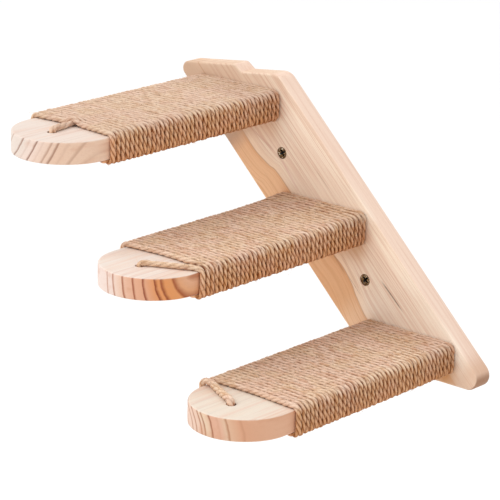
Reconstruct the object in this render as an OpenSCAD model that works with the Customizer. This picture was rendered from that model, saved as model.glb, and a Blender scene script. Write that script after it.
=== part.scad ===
// Wall-mounted cat ladder: three rope-wrapped wooden treads on a leaning backboard.
// The wall is the plane y = 0, the room lies on its -Y side and +Z is up. The origin is on the wall,
// midway between the two wall screws. Left and right are as seen from the room.

/* [Treads] */
// Width of a tread
tread_w = 84; // [60:1:110]
// Thickness of a tread
tread_t = 18; // [15:1:28]
// Length of a tread that the rope covers
wrap_len = 197.5; // [120:0.5:240]
// Bare straight length between the rope and the round nose
nose_flat = 6.5; // [3:0.5:20]
// Radius that softens the long edges of a tread
edge_r = 1.5; // [0.5:0.25:3]
// Sideways distance from one tread to the next
tread_run = 95; // [90:1:130]
// Height from one tread to the next
tread_rise = 87; // [70:1:120]
// How far the middle tread's centre lies below the midpoint of the wall screws
tread_drop = 2.7; // [0:0.1:6]

/* [Backboard] */
// Width of the backboard, square to its long edges
back_w = 85; // [80:1:110]
// Thickness of the backboard
back_t = 18; // [14:1:28]
// How much steeper the backboard leans than the line through the treads, in degrees
lean_extra = 1.6; // [0:0.1:3]
// Height of the backboard's top edge above the top tread, where the edge steps down
head_margin = 18.2; // [12:0.2:30]
// Rise of the top edge towards the right, in degrees
head_tilt = 7; // [0:0.5:8]
// Where the top edge steps down, to the left of the top tread's centre
step_left = 5.5; // [0:0.5:12]
// How far the top edge steps down
step_drop = 5.5; // [2:0.5:8]
// Sideways length of the slope between the two levels
step_run = 8; // [4:0.5:12]
// Radius where the raised top edge meets the slope
step_r = 4; // [1:0.5:6]
// Depth of the backboard's bottom edge below the bottom tread
foot_margin = 14; // [8:0.5:25]
// Radius of the sharp corner at the top left
head_r = 6.5; // [4:0.5:11]
// Radius of the sharp corner at the bottom right
foot_r = 10; // [4:0.5:14]
// Radius of the two blunt corners
blunt_r = 14; // [6:1:20]

/* [Rope] */
// Thickness of the rope
rope_d = 5; // [4:0.25:6]
// Loops round each tread
loops = 24; // [12:1:24]
// Gap between neighbouring loops
loop_gap = 0.6; // [0.5:0.05:1]
// Distance from the rope to the centre of its hole in the nose
nose_hole_out = 20.5; // [14:0.5:30]
// Diameter of that hole
nose_hole_d = 8; // [7:0.5:10]
// Depth of the two blind holes that hold the rope's ends
end_hole_depth = 12; // [8:0.5:14]

/* [Tread screws] */
// Diameter over the thread
tread_screw_d = 4.5; // [3.5:0.5:6]
// Diameter of the plain neck that passes through the backboard
tread_neck_d = 3.2; // [2.4:0.1:3.4]
// Head diameter
tread_screw_head_d = 9; // [8:0.5:10]
// Length that bites into the tread
tread_screw_bite = 42; // [25:1:60]
// Distance from a tread's side to its screw
tread_screw_inset = 18; // [15:1:22]

/* [Wall screws] */
// Diameter over the thread
wall_screw_d = 5; // [4:0.5:6]
// Diameter of the plain neck that passes through the backboard
wall_neck_d = 3.6; // [2.8:0.1:3.9]
// Head diameter
wall_screw_head_d = 10; // [9:0.5:12]
// Length that stands out of the back and goes into the wall
wall_screw_bite = 42; // [30:1:60]

/* [Cross recess in every screw head] */
// Length from tip to tip
recess_len = 5.4; // [4:0.2:6]
// Width of one arm
recess_w = 1.1; // [0.8:0.1:1.4]
// Depth
recess_depth = 1.5; // [0.75:0.25:1.5]

/* [Fits] */
// Free play round each screw
screw_play = 0.1; // [0.05:0.05:0.3]
// Distance that a screw head lies below the wood
head_sink = 0.4; // [0:0.1:1]
// Distance between the rope and what it touches
rope_clear = 0.3; // [0.2:0.05:0.5]
// Free play round the rope in the hole by the wall, and past each end of the rope
hole_play = 0.4; // [0.3:0.05:0.8]

/* [Hidden] */
$fn = 64;

pine = [0.90, 0.79, 0.69];
jute = [0.80, 0.65, 0.50];
bronze = [0.36, 0.27, 0.20];

// A screw's point is this many thread diameters long and ends this wide.
POINT_LEN = 1.4;
POINT_D = 0.6;
// Extra length of a cut, so that it breaks cleanly through a face
overcut = 1;

// Rows of treads: -1 is the top one, 0 the middle one and 1 the bottom one.
TOP = -1;
MIDDLE = 0;
BOTTOM = 1;
LEFT = -1;
RIGHT = 1;

// The wall screws sit on the backboard's centreline, halfway between neighbouring treads.
back_slope = atan2(tread_rise, tread_run) + lean_extra;
back_along = [cos(back_slope), -sin(back_slope)];
wall_screw_reach = norm([tread_run, tread_rise]) / 2;

head_level = tread_rise - tread_drop + tread_t / 2 + head_margin;
foot_level = -tread_rise - tread_drop - tread_t / 2 - foot_margin;

// Centre of a tread's end on the backboard, as x and z.
function tread_centre(row) = [row * tread_run, -row * tread_rise - tread_drop];

// Point of the backboard's long edge at one height; side is LEFT or RIGHT.
function edge_at(side, z) = [(side * back_w / 2 - z * cos(back_slope)) / sin(back_slope), z];

// Point where a long edge meets the line through p that rises by tilt.
function edge_meets(side, p, tilt) =
    let (
        q = edge_at(side, p[1]),
        run = (q[0] - p[0]) * sin(back_slope) / sin(back_slope + tilt)
    )
    p + run * [cos(tilt), sin(tilt)];

// A rounded outline is a list of [corner, radius] that runs clockwise; a radius of 0 leaves the corner
// sharp.
ARC_STEP = 6;
function unit(v) = v / norm(v);
function wrap_index(c, i) = (i + len(c)) % len(c);
function arm(c, i, way) = unit(c[wrap_index(c, i + way)][0] - c[i][0]);
function half_angle(c, i) = acos(arm(c, i, 1) * arm(c, i, -1)) / 2;
function arc_centre(c, i) =
    c[i][0] + unit(arm(c, i, 1) + arm(c, i, -1)) * c[i][1] / sin(half_angle(c, i));
function corner_arc(c, i) =
    let (
        m = arc_centre(c, i),
        start = c[i][0] + arm(c, i, -1) * c[i][1] / tan(half_angle(c, i)) - m,
        sweep = 180 - 2 * half_angle(c, i),
        steps = ceil(sweep / ARC_STEP)
    )
    [
        for (k = [0:steps])
            let (a = atan2(start[1], start[0]) - k * sweep / steps)
            m + c[i][1] * [cos(a), sin(a)]
    ];

module rounded_outline(c) {
    polygon([for (i = [0:len(c) - 1]) each (c[i][1] == 0 ? [c[i][0]] : corner_arc(c, i))]);
}

module backboard_outline() {
    step_top = [tread_centre(TOP)[0] - step_left, head_level];
    step_foot = step_top + [step_run, -step_drop];
    rounded_outline([
        [edge_meets(LEFT, step_top, head_tilt), head_r],
        [step_top, step_r],
        [step_foot, 0],
        [edge_meets(RIGHT, step_foot, head_tilt), blunt_r],
        [edge_at(RIGHT, foot_level), foot_r],
        [edge_at(LEFT, foot_level), blunt_r]
    ]);
}

// Places its child at x and z on the wall plane, with the child's +Z axis pointing into the room.
module on_wall(p) {
    translate([p[0], 0, p[1]])
        rotate([90, 0, 0])
            children();
}

function tread_screw_place(row, side) =
    tread_centre(row) + [side * (tread_w / 2 - tread_screw_inset), 0];
function wall_screw_place(way) = way * wall_screw_reach * back_along;

// Depth of a countersunk head's cone, which is 90 degrees, down to a neck or hole
function cone_depth(narrow_d, head_d) = (head_d - narrow_d) / 2;

// The plain neck ends where the backboard does.
neck_len = back_t - head_sink;

// A countersunk screw along +Z with the flat of its head at z = 0: head, plain neck, then the part that
// carries the thread and bites.
module screw_body(thread_d, neck_d, head_d, bite) {
    length = neck_len + bite;
    difference() {
        rotate_extrude()
            polygon([
                [0, 0], [head_d / 2, 0], [neck_d / 2, cone_depth(neck_d, head_d)],
                [neck_d / 2, neck_len], [thread_d / 2, neck_len],
                [thread_d / 2, length - POINT_LEN * thread_d], [POINT_D / 2, length], [0, length]
            ]);
        for (turn = [0, 90])
            rotate([0, 0, turn])
                translate([-recess_len / 2, -recess_w / 2, -overcut])
                    cube([recess_len, recess_w, overcut + recess_depth]);
    }
}

// The hole that a countersunk screw passes through, from the wood's face at z = 0 to the given depth.
module screw_hole(thread_d, head_d, depth) {
    thread_hole_r = thread_d / 2 + screw_play;
    head_hole_r = head_d / 2 + screw_play;
    rotate_extrude()
        polygon([
            [0, -overcut], [head_hole_r, -overcut], [head_hole_r, head_sink],
            [thread_hole_r, head_sink + cone_depth(thread_d, head_d)], [thread_hole_r, depth], [0, depth]
        ]);
}

module backboard() {
    color(pine)
        difference() {
            on_wall([0, 0])
                linear_extrude(back_t)
                    backboard_outline();
            for (row = [TOP:BOTTOM], side = [LEFT, RIGHT])
                on_wall(tread_screw_place(row, side))
                    screw_hole(tread_screw_d, tread_screw_head_d, back_t + overcut);
            for (way = [-1, 1])
                on_wall(wall_screw_place(way))
                    translate([0, 0, back_t])
                        mirror([0, 0, 1])
                            screw_hole(wall_screw_d, wall_screw_head_d, back_t + overcut);
        }
}

// Half of a tread's cross-section, from its middle to its right side, with softened edges.
module tread_half_section() {
    half = tread_w / 2;
    square([half - edge_r, tread_t / 2]);
    square([half, tread_t / 2 - edge_r]);
    translate([half - edge_r, tread_t / 2 - edge_r])
        circle(edge_r);
}

module tread_section() {
    for (x = [0, 1], y = [0, 1])
        mirror([x, 0])
            mirror([0, y])
                tread_half_section();
}

// A tread with the centre of its wall end at the origin, standing out along -Y.
module tread_board() {
    straight = wrap_len + nose_flat;
    rotate([90, 0, 0])
        linear_extrude(straight)
            tread_section();
    translate([0, -straight, 0])
        rotate([0, 0, 180])
            rotate_extrude(angle = 180)
                for (y = [0, 1])
                    mirror([0, y])
                        tread_half_section();
}

wall_hole_d = 2 * norm([rope_d / 4, rope_d / 2]) + 2 * hole_play;
nose_hole_y = -(wrap_len + nose_hole_out);

module tread(row) {
    place = tread_centre(row);
    color(pine)
        translate([place[0], -back_t, place[1]])
            difference() {
                tread_board();
                translate([0, nose_hole_y, tread_t / 2 - end_hole_depth])
                    cylinder(d = nose_hole_d, h = end_hole_depth + overcut);
                translate([0, start_y, -tread_t / 2 - overcut])
                    cylinder(d = wall_hole_d, h = end_hole_depth + overcut);
                for (side = [LEFT, RIGHT])
                    translate([side * (tread_w / 2 - tread_screw_inset), 0, 0])
                        rotate([90, 0, 0])
                            translate([0, 0, -overcut])
                                cylinder(
                                    d = tread_screw_d + 2 * screw_play,
                                    h = tread_screw_bite + overcut + tread_screw_d
                                );
            }
}

// The rope: one tube of six sides, flattened along its travel, swept round the tread. Each corner of
// the tread has two rings, mitred, on an arc that clears the wood.
SIDES = 6;
CORNERS = 8;
half_turn = 180 / CORNERS;
bend_r = rope_d / 2 + rope_clear;
corner_len = 2 * bend_r * tan(half_turn);
loop_len = 2 * (tread_w + tread_t) + CORNERS * corner_len;

// Path length from ring 0 to each ring of a loop, starting at the top right corner.
ring_travel = let (c = corner_len, wide = tread_w + c, tall = tread_t + c)
    [0, c, c + wide, 2 * c + wide, 2 * c + wide + tall, 3 * c + wide + tall, 3 * c + 2 * wide + tall,
        4 * c + 2 * wide + tall];

function turn_of(g) = floor(g / CORNERS) + ring_travel[g % CORNERS] / loop_len;

FIRST_RING = 6;
last_ring = CORNERS * loops + 1;
turns = turn_of(last_ring) - turn_of(FIRST_RING);
loop_pitch = (wrap_len - rope_clear + loop_gap) / (turns + 1);
loop_w = loop_pitch - loop_gap;
start_y = -(rope_clear + loop_w / 2);

// A ring is [centre, half thickness, half width], the last two as vectors.
function corner_sign(g) = let (q = floor((g % CORNERS) / 2)) [q == 0 || q == 3 ? 1 : -1, q < 2 ? 1 : -1];
function ring_way(g) = let (a = half_turn + 2 * half_turn * (g % CORNERS)) [cos(a), 0, sin(a)];
function wound_ring(g) =
    let (
        s = corner_sign(g),
        y = start_y - loop_pitch * (turn_of(g) - turn_of(FIRST_RING)),
        corner = [s[0] * tread_w / 2, y, s[1] * tread_t / 2]
    )
    [
        corner + ring_way(g) * bend_r / cos(half_turn),
        ring_way(g) * rope_d / 2 / cos(half_turn),
        [0, loop_w / 2, 0]
    ];

// Rings of a rope end that dives into a hole: travel is the level way it goes, up points out of the
// wood and side is square to both.
function dive_rings(mouth, travel, up, side) = [
    for (a = [3 * half_turn, half_turn])
        let (way = travel * cos(a) + up * sin(a))
        [
            mouth + (way / cos(half_turn) - travel) * bend_r,
            way * rope_d / 2 / cos(half_turn),
            side * rope_d / 2
        ],
    [mouth - up * (end_hole_depth - hole_play), travel * rope_d / 2, side * rope_d / 2]
];

function reverse(l) = [for (i = [len(l) - 1:-1:0]) l[i]];

DOWN = [0, 0, -1];
UP = [0, 0, 1];
start_rings = reverse(dive_rings([0, start_y, -tread_t / 2], [-1, 0, 0], DOWN, [0, 1, 0]));
wound_rings = [for (g = [FIRST_RING:last_ring]) wound_ring(g)];
nose_mouth = [0, nose_hole_y, tread_t / 2];
leave = wound_ring(last_ring)[0];
nose_travel = unit([nose_mouth[0] - leave[0], nose_mouth[1] - leave[1], 0]);
end_rings = dive_rings(nose_mouth, nose_travel, UP, cross(nose_travel, UP));
rope_rings = concat(start_rings, wound_rings, end_rings);

function ring_points(r) = [
    for (k = [0:SIDES - 1])
        let (a = 360 * k / SIDES, wide = cos(a), thick = sin(a) == 0 ? 0 : sign(sin(a)))
        r[0] + r[2] * wide + r[1] * thick
];

// Least distance between the points of a ring and those of the next loop, one turn further on.
function ring_gap(a, b) = min([for (p = ring_points(a), q = ring_points(b)) norm(p - q)]);
least_gap = min([
    for (i = [0:len(wound_rings) - CORNERS - 1], d = [-1:1])
        if (i + CORNERS + d < len(wound_rings))
            ring_gap(wound_rings[i], wound_rings[i + CORNERS + d])
]);
echo(str("Least gap between rope loops: ", least_gap, " mm"));

// One rope; hand is 1 where the free end leaves from the right edge and -1 from the left.
module rope(row, hand) {
    place = tread_centre(row);
    last = len(rope_rings) - 1;
    color(jute)
        translate([place[0], -back_t, place[1]])
            mirror([hand < 0 ? 1 : 0, 0, 0])
                polyhedron(
                    points = [for (r = rope_rings) each ring_points(r)],
                    faces = concat(
                        [for (k = [1:SIDES - 2]) [0, k, k + 1]],
                        [
                            for (i = [0:last - 1], k = [0:SIDES - 1])
                                let (
                                    a = i * SIDES + k,
                                    b = i * SIDES + (k + 1) % SIDES
                                )
                                each [[a, a + SIDES, b], [b, a + SIDES, b + SIDES]]
                        ],
                        [for (k = [1:SIDES - 2]) [last * SIDES, last * SIDES + k + 1, last * SIDES + k]]
                    )
                );
}

module tread_screw(row, side) {
    color(bronze)
        on_wall(tread_screw_place(row, side))
            translate([0, 0, head_sink])
                screw_body(tread_screw_d, tread_neck_d, tread_screw_head_d, tread_screw_bite);
}

module wall_screw(way) {
    color(bronze)
        on_wall(wall_screw_place(way))
            translate([0, 0, back_t - head_sink])
                mirror([0, 0, 1])
                    screw_body(wall_screw_d, wall_neck_d, wall_screw_head_d, wall_screw_bite);
}

backboard();
tread(TOP);  // tread_top
tread(MIDDLE);  // tread_middle
tread(BOTTOM);  // tread_bottom
rope(TOP, LEFT);  // rope_top
rope(MIDDLE, RIGHT);  // rope_middle
rope(BOTTOM, LEFT);  // rope_bottom
tread_screw(TOP, LEFT);  // tread_screw_top_left
tread_screw(TOP, RIGHT);  // tread_screw_top_right
tread_screw(MIDDLE, LEFT);  // tread_screw_middle_left
tread_screw(MIDDLE, RIGHT);  // tread_screw_middle_right
tread_screw(BOTTOM, LEFT);  // tread_screw_bottom_left
tread_screw(BOTTOM, RIGHT);  // tread_screw_bottom_right
wall_screw(-1);  // wall_screw_upper
wall_screw(1);  // wall_screw_lower
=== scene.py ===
import math

import bmesh
import bpy
import numpy as np
from mathutils import Matrix, Vector


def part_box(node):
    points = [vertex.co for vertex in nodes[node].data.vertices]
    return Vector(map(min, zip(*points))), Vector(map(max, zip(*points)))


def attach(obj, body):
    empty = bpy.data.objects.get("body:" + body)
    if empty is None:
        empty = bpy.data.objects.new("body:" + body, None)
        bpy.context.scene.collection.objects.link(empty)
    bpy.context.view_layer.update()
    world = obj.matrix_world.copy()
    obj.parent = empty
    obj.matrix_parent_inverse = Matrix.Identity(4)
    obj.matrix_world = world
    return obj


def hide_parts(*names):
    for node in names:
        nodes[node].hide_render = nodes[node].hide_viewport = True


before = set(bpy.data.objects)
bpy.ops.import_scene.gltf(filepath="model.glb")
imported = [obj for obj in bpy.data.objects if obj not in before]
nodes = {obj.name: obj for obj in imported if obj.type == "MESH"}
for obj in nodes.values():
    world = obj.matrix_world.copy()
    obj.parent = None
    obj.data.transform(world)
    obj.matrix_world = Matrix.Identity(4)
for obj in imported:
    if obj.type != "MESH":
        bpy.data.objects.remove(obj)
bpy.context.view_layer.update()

# Lengths are in millimetres and colours in sRGB from 0 to 255, unless a name says otherwise.
MM = 0.001

# Camera, solved from the edges in the photograph
CAM_AZIMUTH = 40.921
CAM_ELEVATION = 17.355
CAM_ROLL = 1.291
CAM_LENS = 176.5
CAM_SENSOR = 36
# Nearest and furthest distance that the camera shows, in metres
CAM_CLIP = (0.05, 100)
CAM_DISTANCE = 2021.4
CAM_AIM = (-39.3, -63.6, -28.0)


def metres(point):
    return Vector(point) * MM


def linear(rgb):
    """A colour in sRGB from 0 to 255 as a linear colour with alpha."""
    parts = [c / 255 for c in rgb]
    return [c / 12.92 if c <= 0.04045 else ((c + 0.055) / 1.055) ** 2.4 for c in parts] + [1.0]


def unit(vectors):
    return vectors / np.linalg.norm(vectors, axis=-1, keepdims=True)


def smooth_step(x):
    x = np.clip(x, 0, 1)
    return x * x * (3 - 2 * x)


def view_basis(azimuth, elevation, roll=0.0):
    """Right, up and back vectors of a camera; azimuth 0 looks along +Y."""
    a, e, r = (math.radians(v) for v in (azimuth, elevation, roll))
    back = Vector((math.sin(a) * math.cos(e), -math.cos(a) * math.cos(e), math.sin(e)))
    level = Vector((math.cos(a), math.sin(a), 0))
    upright = back.cross(level)
    right = level * math.cos(r) + upright * math.sin(r)
    return right, back.cross(right), back


def add_object(data):
    """An object in the scene with its data's name."""
    obj = bpy.data.objects.new(data.name, data)
    bpy.context.scene.collection.objects.link(obj)
    return obj


def aim(obj, location, basis):
    obj.matrix_world = Matrix.Translation(location) @ Matrix(basis).transposed().to_4x4()


def add_camera():
    data = bpy.data.cameras.new("camera")
    data.lens = CAM_LENS
    data.sensor_width = CAM_SENSOR
    data.clip_start, data.clip_end = CAM_CLIP
    camera = add_object(data)
    basis = view_basis(CAM_AZIMUTH, CAM_ELEVATION, CAM_ROLL)
    aim(camera, metres(CAM_AIM) + basis[2] * CAM_DISTANCE * MM, basis)
    bpy.context.scene.camera = camera


class Nodes:
    """A short way to write the node tree of a material, or of the world.

    Inputs are sockets, numbers or vectors.
    """

    def __init__(self, name, owners=bpy.data.materials, shader="Principled BSDF"):
        self.owner = owners.new(name)
        self.owner.use_nodes = True
        self.tree = self.owner.node_tree
        self.shader = self.tree.nodes[shader]

    def put(self, socket, value):
        if isinstance(value, bpy.types.NodeSocket):
            self.tree.links.new(value, socket)
        else:
            socket.default_value = value

    def add(self, kind, inputs=(), output=0, **settings):
        node = self.tree.nodes.new("ShaderNode" + kind)
        for name, value in settings.items():
            setattr(node, name, value)
        for key, value in dict(inputs).items():
            self.put(node.inputs[key], value)
        return node.outputs[output]

    def set(self, **values):
        """Sets the shader's inputs by name, with underscores for spaces."""
        for name, value in values.items():
            self.put(self.shader.inputs[name.replace("_", " ").title().replace("Ior", "IOR")], value)

    def math(self, operation, a, b=0.0, clamp=False):
        return self.add("Math", {0: a, 1: b}, operation=operation, use_clamp=clamp)

    def times(self, first, *others):
        for other in others:
            first = self.math("MULTIPLY", first, other)
        return first

    def vector(self, operation, a, b=(0, 0, 0), output=0):
        return self.add("VectorMath", {0: a, 1: b}, output, operation=operation)

    def dot(self, a, b):
        return self.vector("DOT_PRODUCT", a, b, 1)

    def scaled(self, vector, factor):
        return self.add("VectorMath", {0: vector, "Scale": factor}, operation="SCALE")

    def split(self, vector):
        """The three parts of a vector."""
        node = self.tree.nodes.new("ShaderNodeSeparateXYZ")
        self.put(node.inputs[0], vector)
        return node.outputs[:]

    def position(self):
        """Position in the frame, in metres."""
        return self.add("TexCoord", output=3)

    def surface_normal(self):
        return self.add("NewGeometry", output=1)

    def noise(self, at, rate, detail, roughness):
        """Noise of about 0 to 1; rate is how fast it changes, as one number or by axis."""
        if isinstance(rate, tuple):
            at, rate = self.vector("MULTIPLY", at, rate), 1.0
        return self.add("TexNoise", {"Vector": at, "Scale": rate, "Detail": detail, "Roughness": roughness})

    def between(self, value, low, high, to_low=0.0, to_high=1.0):
        """Smooth step of value from low to high."""
        inputs = {0: value, 1: low, 2: high, 3: to_low, 4: to_high}
        return self.add("MapRange", inputs, interpolation_type="SMOOTHSTEP")

    def mix(self, factor, a, b):
        """Mix of two colours; each may be an sRGB triple."""
        a, b = (linear(c) if isinstance(c, tuple) else c for c in (a, b))
        node = self.tree.nodes.new("ShaderNodeMix")
        node.data_type = "RGBA"
        self.put(node.inputs[0], factor)
        self.put(node.inputs[6], a)
        self.put(node.inputs[7], b)
        return node.outputs[2]

    def tint(self, colour, *tints):
        """The colour with others mixed in, each from none where a value is low to its share where high."""
        for value, low, high, share, other in tints:
            colour = self.mix(self.between(value, low, high, 0, share), colour, other)
        return colour

    def ramp(self, value, stops, low=0.0, high=1.0):
        """Colour ramp over low to high, from (position, sRGB) pairs."""
        node = self.tree.nodes.new("ShaderNodeValToRGB")
        self.put(node.inputs[0], self.add("MapRange", {0: value, 1: low, 2: high}))
        elements = node.color_ramp.elements
        while len(elements) > 1:
            elements.remove(elements[-1])
        elements[0].position = 0.0
        for i, (position, rgb) in enumerate(stops):
            element = elements[0] if i == 0 else elements.new((position - low) / (high - low))
            element.color = linear(rgb)
        return node.outputs[0]

    def bump(self, height, distance, strength):
        return self.add("Bump", {"Height": height, "Distance": distance * MM, "Strength": strength})

    def curve(self, value, points, low, high, top):
        """Smooth curve through (value, height) points, over low to high and 0 to top."""
        node = self.tree.nodes.new("ShaderNodeFloatCurve")
        self.put(node.inputs["Value"], self.add("MapRange", {0: value, 1: low, 2: high}))
        places = [((x - low) / (high - low), y / top) for x, y in points]
        line = node.mapping.curves[0]
        line.points[0].location = (0, places[0][1])
        line.points[1].location = (1, places[-1][1])
        for x, y in places:
            line.points.new(x, y)
        node.mapping.update()
        return self.times(node.outputs[0], top)


# Wood

# Slight bends of the growth rings: how fast they change by axis, and how far they reach
RING_BENDS = (((0.016, 0.0035, 0.016), 5.0), ((0.16, 0.012, 0.16), 1.1))


def wood_space(n, origin, across, along, depth):
    """Position in millimetres in a board's own axes: across, along the fibres, and through."""
    here = n.vector("SUBTRACT", n.position(), metres(origin))
    parts = [n.dot(here, Vector(axis) / MM) for axis in (across, along, depth)]
    return n.add("CombineXYZ", dict(enumerate(parts)))


def shifted(n, at, seed):
    """The position moved far off, so that each board has its own grain."""
    return n.vector("ADD", at, (seed * 37.0, seed * 11.0, seed * 23.0))


def ring_radius(n, at, seeded, pith):
    """Distance from the pith, a line along the fibres that is placed across and through the board."""
    for rate, reach in RING_BENDS:
        bend = n.add("TexNoise", {"Vector": n.vector("MULTIPLY", seeded, rate), "Scale": 1.0}, output=1)
        at = n.vector("ADD", at, n.scaled(n.vector("SUBTRACT", bend, (0.5, 0.5, 0.5)), reach))
    flat = n.vector("MULTIPLY", n.vector("SUBTRACT", at, (pith[0], 0, pith[1])), (1, 0, 1))
    return n.vector("LENGTH", flat, output=1)


def facing(n, axis):
    """How squarely the surface faces along the axis, either way."""
    return n.math("ABSOLUTE", n.dot(n.surface_normal(), axis))


def finish_wood(n, seeded, colour):
    """Fine streaks and pores over the wood's colour, and its surface."""
    streak = n.noise(seeded, (1.1, 0.018, 1.1), 4, 0.62)
    pore = n.noise(seeded, (2.4, 0.5, 2.4), 3, 0.7)
    colour = n.tint(
        colour, (streak, 0.50, 0.80, 0.30, (206, 158, 126)), (pore, 0.52, 0.78, 0.20, (184, 134, 102)),
    )
    height = n.math("ADD", n.times(streak, 0.6), n.times(pore, 0.4))
    rough = n.between(streak, 0.3, 0.7, 0.50, 0.66)
    n.set(base_color=colour, roughness=rough, normal=n.bump(height, 0.06, 0.6), specular_ior_level=0.3)
    return n.owner


def add_piece(mesh, material, smooth=True):
    mesh.polygons.foreach_set("use_smooth", [smooth] * len(mesh.polygons))
    mesh.materials.append(material)
    return add_object(mesh)


# Treads

# The pith is at x and z from the tread's centre, and "face" is the colour of the top, painted lighter
# on the middle and bottom treads as painted light against the shade of the treads above. "wood" gives
# the colour between the growth lines, and "lines" each line's strength, both by distance from the pith.
# "painted_shadow" is how strong the painted orange shadow on the backboard below the tread is, and
# "painted_light" how strong the painted light on the board above the tread.
TREADS = {
    "top": {
        "pith": (-50, 35), "painted_shadow": 0.36, "painted_light": 0.0,
        "face": (229, 214, 203), "line": (132, 84, 62),
        "wood": [(2, (229, 218, 208)), (56, (227, 211, 199)), (66, (236, 212, 198)), (84, (232, 197, 172)),
                 (104, (238, 204, 178)), (118, (240, 205, 181))],
        "lines": [(42.5, 0.40), (54.8, 0.85), (61.0, 0.12), (67.0, 1.0), (72.0, 0.10), (77.4, 0.45),
                  (81.6, 0.75), (87.0, 0.10), (92.8, 0.30), (99.0, 0.10)],
    },
    "middle": {
        "pith": (120, 18), "painted_shadow": 0.66, "painted_light": 0.42,
        "face": (237, 228, 219), "line": (138, 54, 20),
        "wood": [(60, (230, 186, 158)), (79, (228, 176, 142)), (84, (228, 152, 92)), (91, (228, 152, 96)),
                 (96, (226, 164, 128)), (110, (226, 176, 148)), (116, (232, 196, 172)),
                 (124, (233, 210, 198)), (150, (234, 215, 205))],
        "lines": [(78.6, 0.45), (82.8, 0.75), (88.0, 0.95), (91.3, 1.0), (98.6, 1.0), (106.0, 0.85),
                  (114.0, 0.85), (122.8, 0.62), (129.6, 0.48)],
    },
    "bottom": {
        "pith": (-35, -12), "painted_shadow": 0.95, "painted_light": 0.38,
        "face": (234, 226, 212), "line": (146, 76, 42),
        "wood": [(2, (232, 204, 187)), (30, (226, 192, 170)), (38, (226, 202, 172)), (43, (218, 168, 140)),
                 (50, (222, 174, 148)), (54, (222, 188, 158)), (58, (220, 166, 133)), (70, (215, 160, 127)),
                 (80, (200, 141, 103)), (104, (228, 186, 156))],
        "lines": [(12.2, 0.58), (20.2, 0.66), (25.8, 0.76), (32.0, 0.82), (35.7, 0.88), (42.4, 1.0),
                  (48.5, 0.10), (54.9, 0.55), (64.0, 0.16)],
    },
}
# How gradually a growth line darkens on the pith's side, and how sharply it ends
LINE_RISE = 1.7
LINE_FALL = 0.7


def ring_stops(look):
    """Colour stops by distance from the pith."""
    places, colours = zip(*look["wood"])

    def wood(radius, dark=0.0):
        plain = [np.interp(radius, places, channel) for channel in zip(*colours)]
        return tuple(c + (d - c) * dark for c, d in zip(plain, look["line"]))

    stops = [look["wood"][0]]
    for radius, strength in look["lines"]:
        stops += [
            (radius - LINE_RISE, wood(radius - LINE_RISE)), (radius, wood(radius, strength)),
            (radius + LINE_FALL, wood(radius + LINE_FALL)),
        ]
    return stops + [look["wood"][-1]]


def tread_place(row):
    """Centre of a tread's wall end, from its CAD node."""
    low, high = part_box("tread_" + row)
    return ((low.x + high.x) / 2 / MM, high.y / MM, (low.z + high.z) / 2 / MM)


def tread_pine(row, seed):
    """Growth rings as bands of colour on the sides and nose, and a very pale top with faint stripes."""
    look = TREADS[row]
    n = Nodes("pine_tread_" + row)
    at = wood_space(n, tread_place(row), (1, 0, 0), (0, -1, 0), (0, 0, 1))
    seeded = shifted(n, at, seed)
    stops = ring_stops(look)
    rings = n.ramp(ring_radius(n, at, seeded, look["pith"]), stops, stops[0][0], stops[-1][0])
    broad = n.noise(seeded, (0.08, 0.006, 0.08), 3, 0.55)
    rings = n.tint(rings, (broad, 0.50, 0.68, 0.40, (206, 146, 110)))
    stripe = n.noise(seeded, (0.26, 0.010, 0.26), 2, 0.5)
    flat = n.tint(
        look["face"], (broad, 0.42, 0.70, 0.5, (236, 206, 184)),
        (stripe, 0.50, 0.64, 0.34, (226, 184, 164)),
    )
    flat = n.mix(0.12, flat, rings)
    colour = n.tint(rings, (facing(n, (0, 0, 1)), 0.45, 0.9, 1, flat))
    return finish_wood(n, seeded, colour)


def dress_treads():
    for seed, row in enumerate(TREADS, 1):
        node = nodes["tread_" + row]
        node.data.materials.clear()
        node.data.materials.append(tread_pine(row, seed))


# Backboard

BACK_T = 18.0
BACK_HALF_W = 42.5
BACK_SLOPE = math.radians(44.08)
BACK_ALONG = (math.cos(BACK_SLOPE), 0, -math.sin(BACK_SLOPE))
BACK_ACROSS = (math.sin(BACK_SLOPE), 0, math.cos(BACK_SLOPE))
# Radii of the rounded edges in front and at the back, and the steps of their arcs
BACK_EDGES = (1.7, 1.1)
BACK_ARC_STEPS = 5
# Width of the flat rim beside each rounded edge, which keeps its shading even
BACK_RIM = 0.6
BOARD_SEED = 7
BOARD_PITH = (12, 95)
BOARD_RING_GAP = 5.3
# Width of the darker heartwood strip along the left edge, at distances along the board
HEARTWOOD = [
    (-104, 19.8), (-84, 20.1), (-65, 23.7), (-57, 26.8), (-34, 27.2), (31, 29.7), (42, 30.7), (57, 28.9),
    (70, 25.0), (89, 21.5),
]
# Streaks in the board's face: across, along, half the length, slant, half the width, strength and colour
STREAKS = [
    (14.6, 90, 18, 0.03, 1.10, 0.95, (118, 78, 52)), (-12.5, 62, 12, -0.02, 0.60, 0.5, (128, 86, 60)),
    (21.0, -20, 16, 0.01, 0.60, 0.4, (128, 86, 60)), (4.5, 16, 14, 0.0, 0.60, 0.3, (128, 86, 60)),
    (-8.0, 47, 24, -0.17, 2.2, 0.45, (186, 132, 92)), (-10.0, -88, 22, 0.25, 1.8, 0.55, (204, 148, 124)),
    (-5.8, -45, 20, -0.10, 1.6, 0.60, (220, 160, 146)), (-13.5, 36, 16, -0.05, 1.5, 0.55, (178, 124, 82)),
    (8.0, -66, 34, -0.02, 1.3, 0.35, (206, 154, 128)), (16.0, -44, 40, 0.02, 1.6, 0.35, (212, 164, 136)),
    (25.0, 34, 46, 0.0, 1.5, 0.30, (212, 164, 136)), (2.0, 112, 24, 0.03, 1.4, 0.40, (206, 154, 126)),
]


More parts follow.
